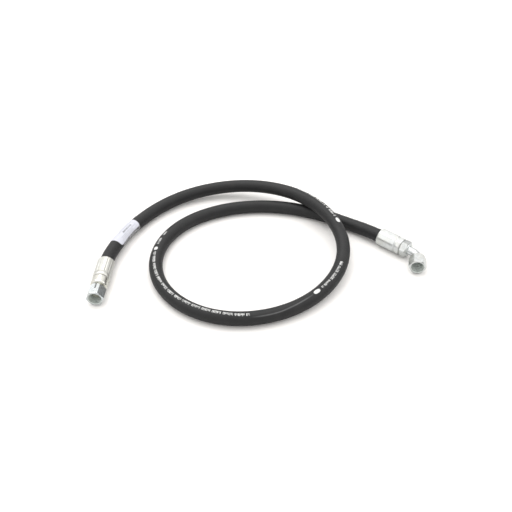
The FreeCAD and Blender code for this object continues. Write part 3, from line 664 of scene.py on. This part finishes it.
def print_ink(graph, uv, station, arc):
    """The printed lay line: bars of uneven width and height in groups, and oval marks."""
    across = arc - graph.course(station, PRINT_ANGLE)
    along = station / BAR_PITCH
    cell = along.floor()
    part = along.fract()
    width_draw = graph.white(cell)
    skip_draw = graph.white(cell + 311.5)
    height_draw = graph.white(cell + 977.25)
    width = 0.44 + width_draw * 0.26
    bar = abs(part - 0.5) < width * 0.5
    group = (station / GROUP_PITCH).fract() < 0.86
    kept = skip_draw > 0.03
    # short bars stand on the same line as tall ones
    tall = graph.lerp(height_draw > 0.40, BAR_SHORT, BAR_TALL)
    inside = abs(across + (BAR_TALL - tall)) < tall
    # a slot across some of the bars
    slit = (abs(across - width_draw * 1.2) < 0.32) * (skip_draw > 0.52)
    bars = bar * group * (kept * inside) * (1.0 - slit)
    bars = bars * graph.largest(graph.between(station, float(start), float(end))
                                for start, end in PRINT_RUNS)
    for start, end in PRINT_BLOBS:
        middle, half = (start + end) / 2.0, (end - start) / 2.0
        oval = (abs((station - middle) / half) ** BLOB_POWER
                + abs(across / BLOB_HALF_HEIGHT) ** BLOB_POWER)
        bars = graph.largest([bars, oval < 1.0])
    # ink thins out and rubs off
    patch = graph.noise(graph.scaled(uv, UV_TO_MM), scale=0.9, detail=4.0, rough=0.6)
    return bars * graph.ramp(patch, low=0.22, high=0.36)


def cloth_relief(graph, uv, station, arc, grain, ink):
    """Bump height of the cured cover."""
    # cloth impression: two fine families of threads along the wrap
    thread = 2 * math.pi / THREAD_PITCH
    along = (station + arc * 0.5) * thread
    across = (arc - station * 0.5) * thread
    weave = along.sine() * across.sine()
    # the cloth's turns overlap and leave faint steps
    turn = (station / CLOTH_PITCH + arc / (2 * math.pi * COVER_RADIUS)).fract()
    step = graph.ramp(abs(turn - 0.5), low=0.40, high=0.5)
    crease = graph.noise(graph.scaled(uv, (95.0, 22.0, 1.0)), scale=0.8, detail=4.0,
                         rough=0.6, distortion=0.4)
    crease = graph.ramp(crease, low=0.35, high=0.75)
    return weave * 0.35 + grain * 1.1 + (step * 0.5 + crease * 0.9) + ink * 0.4


def painted_highlight_streak(graph, station, arc):
    """A painted highlight: a lighter, smoother line along the hose, where a glossy streak shows.
    """
    off = abs(arc - graph.course(station, STREAK_ANGLE))
    line = 1.0 - graph.ramp(off, low=0.35, high=1.35)
    return line * (graph.ramp(station, low=640.0, high=668.0)
                   * (1.0 - graph.ramp(station, low=722.0, high=744.0)))


def cover_material():
    dark, lighter = (0.0095, 0.0095, 0.0100), (0.0155, 0.0155, 0.0160)
    dusty, rubbed = (0.042, 0.041, 0.039), (0.035, 0.035, 0.036)
    streak_highlight_colour, white_ink = (0.11, 0.11, 0.112), (0.72, 0.72, 0.71)
    graph = Material("cover_rubber_wrapped")
    uv = graph.lay()
    station, arc = graph.station_and_arc(uv)
    ink = print_ink(graph, uv, station, arc)
    flow = graph.noise(graph.scaled(uv, UV_TO_MM), scale=0.05, detail=3.0, rough=0.55)
    grain = graph.noise(graph.scaled(uv, UV_TO_MM), scale=2.6, detail=5.0, rough=0.65)
    height = cloth_relief(graph, uv, station, arc, grain, ink)
    dust = graph.noise(graph.coords(), scale=38.0, detail=5.0, rough=0.62)
    dust = graph.ramp(dust, low=0.50, high=0.80)
    rub = graph.noise(graph.scaled(uv, (12.0, 260.0, 1.0)), scale=1.0, detail=3.0, rough=0.5)
    rub = graph.ramp(rub, low=0.60, high=0.78)
    streak = painted_highlight_streak(graph, station, arc)
    base = graph.mix(flow, dark, lighter)
    base = graph.mix(dust * 0.30, base, dusty)
    base = graph.mix(rub * 0.15, base, rubbed)
    # painted highlight: the streak line is lighter in colour, and also smoother
    base = graph.mix(streak * 0.75, base, streak_highlight_colour)
    base = graph.mix(ink * 0.95, base, white_ink)
    rough = 0.37 + grain * 0.14 + dust * 0.12 - streak * 0.18
    ink_rough = 0.62
    graph.set(Base_Color=base, Roughness=graph.lerp(ink, rough, ink_rough),
              Normal=graph.bump(height, distance=0.00011, strength=0.75),
              Specular_IOR_Level=0.38)
    return graph


# ------------------------------------------------------------------ braid and inner tube
def braid_material():
    groove_shade, cord, strand = (0.16, 0.14, 0.11), (0.56, 0.52, 0.44), (0.40, 0.37, 0.31)
    graph = Material("textile_braid_cords")
    uv = graph.lay()
    station, arc = graph.station_and_arc(uv)
    around = CORDS / COVER_RADIUS
    cords = graph.largest([(arc * around + station * CORD_TWIST).sine(),
                           (arc * around - station * CORD_TWIST).sine()])
    strands = graph.noise(graph.scaled(uv, UV_TO_MM), scale=3.0, detail=4.0, rough=0.6)
    # painted shade: the cords' colour darkens where they sit low, in the gaps between them
    base = graph.mix(graph.ramp(cords, low=-0.6, high=0.9), groove_shade, cord)
    base = graph.mix(strands * 0.4, base, strand)
    graph.set(Base_Color=base, Roughness=0.85,
              Normal=graph.bump(cords + strands, distance=0.0001, strength=0.6))
    return graph


def inner_material():
    dark, lighter = (0.012, 0.012, 0.013), (0.028, 0.027, 0.027)
    graph = Material("inner_tube_rubber")
    grain = graph.noise(graph.scaled(graph.lay(), UV_TO_MM), scale=1.2, detail=4.0, rough=0.6)
    graph.set(Base_Color=graph.mix(grain, dark, lighter), Roughness=0.35 + grain * 0.25,
              Normal=graph.bump(grain, distance=0.00003, strength=0.4))
    return graph


for layer, make_material in (("hose_cover", cover_material), ("hose_braid", braid_material),
                             ("hose_tube", inner_material)):
    layer_material = make_material()
    for piece in hose[layer]:
        wear(piece, layer_material)


# ------------------------------------------------------------------ label film and clear film
# rows of plain grey bars, the first one bolder:
# (arc from, arc to, station from, station to, bar pitch, ink strength)
LABEL_ROWS = [
    (-3.2, -0.3, 61.0, 84.0, 2.2, 1.0),
    (-6.0, -4.9, 50.0, 88.0, 1.5, 0.45),
    (-8.0, -7.0, 50.0, 80.0, 1.7, 0.40),
    (1.6, 2.6, 56.0, 90.0, 1.6, 0.45),
    (4.0, 5.0, 60.0, 86.0, 1.8, 0.40),
]


def label_row(graph, station, arc, row):
    low, high, start, end, pitch, strength = row
    along = station / pitch
    draw = graph.white(along.floor() + pitch * 31.0)
    bar = abs(along.fract() - 0.5) < 0.22 + draw * 0.24
    area = graph.between(arc, low, high) * graph.between(station, start, end)
    return area * bar * strength


def label_ink(graph, station, arc):
    rows = graph.largest(label_row(graph, station, arc, row) for row in LABEL_ROWS)
    # a ruled line along the hose near the loose edge, and one around it at the far end
    rule = (graph.band(arc, low=-9.6, high=-9.2, soft=0.08)
            * graph.band(station, low=46.0, high=90.0, soft=0.2))
    cross = (graph.band(station, low=89.6, high=90.0, soft=0.08)
             * graph.band(arc, low=-9.6, high=6.0, soft=0.2))
    return graph.largest([rows, graph.largest([rule, cross]) * 0.5])


def label_material():
    shade, light = (0.53, 0.535, 0.60), (0.64, 0.65, 0.71)
    dirty, grey_ink = (0.46, 0.47, 0.50), (0.10, 0.105, 0.11)
    graph = Material("label_printed_film")
    uv = graph.lay()
    station, arc = graph.station_and_arc(uv)
    place = graph.scaled(uv, UV_TO_MM)
    ink = label_ink(graph, station, arc)
    fade = graph.ramp(graph.noise(place, scale=0.6, detail=3.0, rough=0.6),
                      low=0.32, high=0.6, to_low=0.55)
    fibre = graph.noise(graph.scaled(uv, (60.0, 500.0, 1.0)), scale=1.0, detail=4.0, rough=0.6)
    grime = graph.ramp(graph.noise(place, scale=0.11, detail=4.0, rough=0.6),
                       low=0.52, high=0.75)
    base = graph.mix(fibre, shade, light)
    base = graph.mix(grime * 0.35, base, dirty)
    base = graph.mix(ink * fade * 0.88, base, grey_ink)
    relief = fibre + graph.noise(place, scale=0.35, detail=2.0, rough=0.5)
    graph.set(Base_Color=base, Roughness=0.30 + fibre * 0.15,
              Normal=graph.bump(relief, distance=0.00012, strength=0.5),
              Coat_Weight=0.25, Coat_Roughness=0.15)
    return graph


def clear_material():
    graph = Material("label_clear_film")
    place = graph.scaled(graph.lay(), UV_TO_MM)
    haze = graph.noise(place, scale=0.45, detail=4.0, rough=0.6)
    relief = graph.noise(place, scale=0.30, detail=3.0, rough=0.5)
    graph.set(Base_Color=(0.66, 0.66, 0.69),
              Roughness=graph.ramp(haze, low=0.3, high=0.7, to_low=0.06, to_high=0.24),
              Alpha=graph.ramp(haze, low=0.38, high=0.66, to_low=0.12, to_high=0.62),
              Normal=graph.bump(relief, distance=0.0006, strength=0.55),
              Specular_IOR_Level=0.9)
    # the gloss stays at full strength where the film is clear
    gloss = graph.value("BsdfGlossy", {"Roughness": 0.10})
    fresnel = graph.value("Fresnel", {"IOR": 1.5})
    surface = graph.value("MixShader", {0: fresnel, 1: graph.surface, 2: gloss})
    graph.put(surface, graph.output.inputs[0])
    return graph


wear(label, label_material())
wear(clear, clear_material())


# ------------------------------------------------------------------ plated steel
BRIGHT, WARM, SCRATCHED = (0.93, 0.93, 0.92), (0.78, 0.74, 0.62), (0.50, 0.50, 0.50)
# painted shade for the flute grooves, then a painted dark reflection and shade for a nut flat
PAINTED_GROOVE_SHADE, DARK_REFLECTION_COLOUR = (0.40, 0.40, 0.38), (0.03, 0.032, 0.03)
BORE_CLEAN, BORE_DIRTY = (0.76, 0.80, 0.77), (0.34, 0.38, 0.35)
TURNING_PITCH = 0.55    # mm between lathe rings
EDGE_WEAR = 0.00035     # metres


def fitting_coords(graph, origin, axis):
    """A fitting's own X (up), Y and Z (along its axis), in millimetres from its origin."""
    z = Vector(axis).normalized()
    y = z.cross(Vector((0, 0, 1))).normalized()
    x = y.cross(z).normalized()
    rotation = Matrix((x, y, z))
    offset = rotation @ Vector(origin)
    place = graph.coords()
    return [(graph.dot(place, tuple(rotation[i])) - offset[i]) * 1000.0 for i in range(3)]


def painted_dark_reflection(graph, local, x, y, along, dark_reflection_at):
    """A painted dark reflection and shade: a ragged dark patch beside a corner."""
    (z_low, z_high), (angle_low, angle_high) = dark_reflection_at
    angle = graph.math("ARCTAN2", y, x)
    ragged = (graph.noise(local, scale=0.55, detail=4.0, rough=0.6) - 0.5) * 14.0
    reflection_mark = (graph.band(angle * (180 / math.pi) + ragged, angle_low, angle_high, soft=2.0)
             * graph.band(along + ragged * 0.15, z_low, z_high, soft=0.8))
    patches = graph.noise(local, scale=1.1, detail=4.0, rough=0.6)
    return reflection_mark * graph.ramp(patches, low=0.30, high=0.48)


def zinc(name, fitting, tint, rough, turned, warm_amount=0.18, bore_radius=None,
         bore_from=None, groove_shade=None, dark_reflection_at=None):
    """Zinc plating in a fitting's (origin, axis) frame.
    turned: strength of the lathe rings. bore_radius, bore_from: the dull bore, in mm.
    groove_shade: (low radius, high radius, amount) of the low parts: painted shade in their
    colour, and a rougher finish.
    dark_reflection_at: ((along from, to) in mm, (angle from, to) in degrees) of a painted dark
    reflection and shade."""
    graph = Material(name)
    x, y, along = fitting_coords(graph, *fitting)
    local = graph.value("CombineXYZ", {0: x, 1: y, 2: along})
    cloud = graph.noise(local, scale=0.16, detail=4.0, rough=0.6)
    fine = graph.noise(local, scale=2.4, detail=5.0, rough=0.65)
    grit = graph.noise(local, scale=9.0, detail=3.0, rough=0.6)
    # lathe or die marks: rings along the axis, slightly broken up
    wobble = graph.noise(local, scale=0.8, detail=2.0, rough=0.5) * 0.8
    rings = ((along + wobble) * (2 * math.pi / TURNING_PITCH)).sine() * turned
    scratch = graph.noise(graph.scaled(local, (1.2, 1.2, 9.0)), scale=1.0, detail=5.0,
                          rough=0.7)
    scratch = graph.ramp(scratch, low=0.60, high=0.68)
    # edges are where the bevelled normal leaves the true one
    bevel = graph.value("Bevel", {"Radius": EDGE_WEAR}, samples=4)
    true_normal = graph.value("NewGeometry", output="Normal")
    worn = graph.ramp(1.0 - graph.dot(bevel, true_normal), low=0.004, high=0.08)
    warmth = graph.ramp(graph.noise(local, scale=0.09, detail=3.0, rough=0.5),
                        low=0.42, high=0.62)

    darker = tuple(channel * 0.90 for channel in tint)
    base = graph.mix(graph.ramp(cloud, low=0.35, high=0.65), tint, darker)
    base = graph.mix(warmth * warm_amount, base, WARM)
    base = graph.mix(scratch * 0.22, base, SCRATCHED)
    base = graph.mix(worn * 0.5, base, BRIGHT)
    roughness = (rough - 0.05) + fine * 0.12 + scratch * 0.08
    metal = 1.0
    if groove_shade or bore_radius:
        radius = (x * x + y * y).root()
    if groove_shade:
        low_radius, high_radius, amount = groove_shade
        # painted shade: the low parts between the flutes are darkened in colour, and also made
        # rougher
        low = 1.0 - graph.ramp(radius, low_radius, high_radius)
        base = graph.mix(low * amount, base, PAINTED_GROOVE_SHADE)
        roughness = roughness + low * 0.10
    if dark_reflection_at:
        # painted dark reflection and shade: a ragged black, less metallic patch on the nut's top
        # flat
        reflection_mark = painted_dark_reflection(graph, local, x, y, along, dark_reflection_at)
        base = graph.mix(reflection_mark * 0.92, base, DARK_REFLECTION_COLOUR)
        metal = 1.0 - reflection_mark * 0.9
        roughness = roughness + reflection_mark * 0.2
    if bore_radius:
        inside = radius < bore_radius
        if bore_from is not None:
            inside = inside * (along > bore_from)
        # the bore holds a little oil and dirt, and its plating is duller
        grime = graph.ramp(graph.noise(local, scale=0.35, detail=4.0, rough=0.6),
                           low=0.30, high=0.70, to_low=0.10, to_high=0.55)
        base = graph.mix(inside, base, graph.mix(grime, BORE_CLEAN, BORE_DIRTY))
        roughness = roughness + inside * 0.10
        metal = metal * (1.0 - inside * 0.55)
    height = rings * 0.18 + (fine * 0.8 + grit * 0.35) - scratch * 0.5
    graph.set(Base_Color=base, Roughness=roughness, Metallic=metal,
              Normal=graph.bump(height, distance=0.00003, strength=0.6, Normal=bevel))
    return graph


def joint_frame(name):
    joint = JOINTS[name]
    return Vector(joint["pos_m"]), Vector(joint["axis"]).normalized()


# (origin in metres, outward axis) at the two nuts and at the two ends of the open hose
STRAIGHT_NUT = joint_frame("straight_nut_swivel")
ELBOW_NUT = joint_frame("elbow_nut_swivel")
STRAIGHT_MOUTH = (Vector(centre(np.array([0.0]))[0] * MM), STRAIGHT_NUT[1])
ELBOW_MOUTH = (Vector(centre(np.array([LENGTH]))[0] * MM),
               Vector((math.cos(HEADINGS[-1]), math.sin(HEADINGS[-1]), 0)))

ELBOW_CRIMP_TINT = (0.82, 0.84, 0.83)
ELBOW_TUBE_TINT = (0.80, 0.82, 0.82)
WIRE_TINT = (0.55, 0.55, 0.55)
NUT_BORE = dict(bore_radius=9.75, bore_from=-1.0)
# (CAD node, material, fitting frame, settings of zinc)
PLATED = [
    # the ferrule's flute grooves carry painted shade
    ("straight_ferrule", "zinc_fluted_ferrule", STRAIGHT_MOUTH,
     dict(tint=(0.79, 0.79, 0.75), rough=0.34, turned=0.2, groove_shade=(11.45, 11.9, 0.6))),
    ("straight_stem", "zinc_turned_stem", STRAIGHT_MOUTH,
     dict(tint=(0.84, 0.83, 0.77), rough=0.24, turned=0.8, warm_amount=0.45,
          bore_radius=5.6)),
    # the top flat of this nut carries a painted dark reflection and shade
    ("straight_swivel_nut", "zinc_nut_straight", STRAIGHT_NUT,
     dict(tint=(0.78, 0.82, 0.83), rough=0.20, turned=0.15,
          dark_reflection_at=((-2.0, 10.5), (-4.0, 8.0)), **NUT_BORE)),
    ("elbow_ferrule", "zinc_crimped_ferrule", ELBOW_MOUTH,
     dict(tint=ELBOW_CRIMP_TINT, rough=0.38, turned=0.25)),
    ("elbow_stem", "zinc_hex_stem", ELBOW_MOUTH,
     dict(tint=ELBOW_CRIMP_TINT, rough=0.25, turned=0.3)),
    ("elbow_tube", "zinc_bent_tube", ELBOW_MOUTH,
     dict(tint=ELBOW_TUBE_TINT, rough=0.22, turned=0.0)),
    ("elbow_seat_nose", "zinc_seat_nose", ELBOW_NUT,
     dict(tint=ELBOW_TUBE_TINT, rough=0.24, turned=0.8, bore_radius=5.2)),
    ("elbow_swivel_nut", "zinc_nut_elbow", ELBOW_NUT,
     dict(tint=(0.80, 0.82, 0.81), rough=0.24, turned=0.15, **NUT_BORE)),
    ("straight_thrust_wire", "drawn_wire_straight", STRAIGHT_NUT,
     dict(tint=WIRE_TINT, rough=0.3, turned=0.0)),
    ("elbow_thrust_wire", "drawn_wire_elbow", ELBOW_NUT,
     dict(tint=WIRE_TINT, rough=0.3, turned=0.0)),
]
for node_name, material_name, fitting, settings in PLATED:
    wear(NODES[node_name], zinc(material_name, fitting, **settings))


# ------------------------------------------------------------------ floor, light, camera
def make_floor():
    cells, half, z = 48, 6.0, -0.0001
    row = cells + 1
    ticks = [-half + 2 * half * i / cells for i in range(row)]
    verts = [(x, y, z) for x in ticks for y in ticks]
    corners = [i * row + j for i in range(cells) for j in range(cells)]
    faces = [(a, a + row, a + row + 1, a + 1) for a in corners]
    floor = new_object("floor", verts, faces, smooth_faces=False)
    graph = Material("floor_pale")
    grain = graph.noise(graph.coords(), scale=3.0, detail=2.0, rough=0.5)
    pale = graph.mix(grain, (0.925, 0.905, 0.885), (0.94, 0.92, 0.90))
    # painted reflection: polished faces see a darker floor colour than the camera does
    seen_by_gloss = (0.62, 0.62, 0.615)
    graph.set(Base_Color=graph.mix(graph.glossy_ray(), pale, seen_by_gloss), Roughness=0.9,
              Specular_IOR_Level=0.1)
    wear(floor, graph)


def area_light(name, location, size, power, color):
    """A square light aimed at the origin."""
    data = bpy.data.lights.new(name, "AREA")
    data.energy = power
    data.color = color
    data.shape = "RECTANGLE"
    data.size = size
    data.size_y = size
    light = bpy.data.objects.new(name, data)
    light.location = location
    light.rotation_euler = (-Vector(location)).to_track_quat("-Z", "Y").to_euler()
    scene.collection.objects.link(light)


def make_world():
    """An even dome for diffuse light; polished faces see a tent with dimmer parts."""
    world = bpy.data.worlds.new("studio")
    scene.world = world
    world.use_nodes = True
    graph = Graph(world.node_tree)
    x, y, z = graph.split(graph.coords("Generated"))
    # bright from low down to near the zenith
    tent = (graph.ramp(z, low=0.06, high=0.32, to_low=0.74, to_high=1.04)
            - graph.ramp(z, low=0.80, high=0.97, to_high=0.22))
    # a dim gap low down on the +X side
    gap = graph.ramp(x, low=0.15, high=0.45) * (1.0 - graph.ramp(z, low=0.24, high=0.42))
    tent = tent * (1.0 - gap * 0.50)
    # slightly dimmer towards -Y, the camera's side
    front = graph.ramp(y * -1.0, low=0.35, high=0.8) * 0.15
    tent = tent * (1.0 - front)
    dome = graph.ramp(z, low=-0.1, high=0.9, to_low=1.02, to_high=1.16)
    strength = graph.lerp(graph.glossy_ray(), dome, tent)
    background = graph.value("Background", {"Color": (1.0, 0.997, 0.992),
                                            "Strength": strength})
    graph.node("OutputWorld", {0: background})


def make_camera():
    data = bpy.data.cameras.new("camera")
    data.sensor_fit = "HORIZONTAL"
    data.sensor_width = 36.0
    data.lens = 51.9609375
    data.shift_y = -0.0009765625
    data.clip_start = 0.05
    data.clip_end = 50.0
    camera = bpy.data.objects.new("camera", data)
    camera.location = (-0.007086, -0.847435, 0.7066)
    camera.rotation_euler = (math.radians(50.0), 0.0, 0.0)
    scene.collection.objects.link(camera)
    scene.camera = camera


make_floor()
area_light("overhead_softbox", location=(-0.45, 0.65, 1.9), size=1.9, power=22.0,
           color=(1.0, 0.995, 0.985))
area_light("side_softbox", location=(1.5, 0.2, 1.1), size=1.0, power=4.0,
           color=(0.985, 0.99, 1.0))
make_world()
make_camera()

scene.view_settings.view_transform = "Standard"
scene.view_settings.look = "None"
scene.view_settings.exposure = 0.0
scene.view_settings.gamma = 1.0
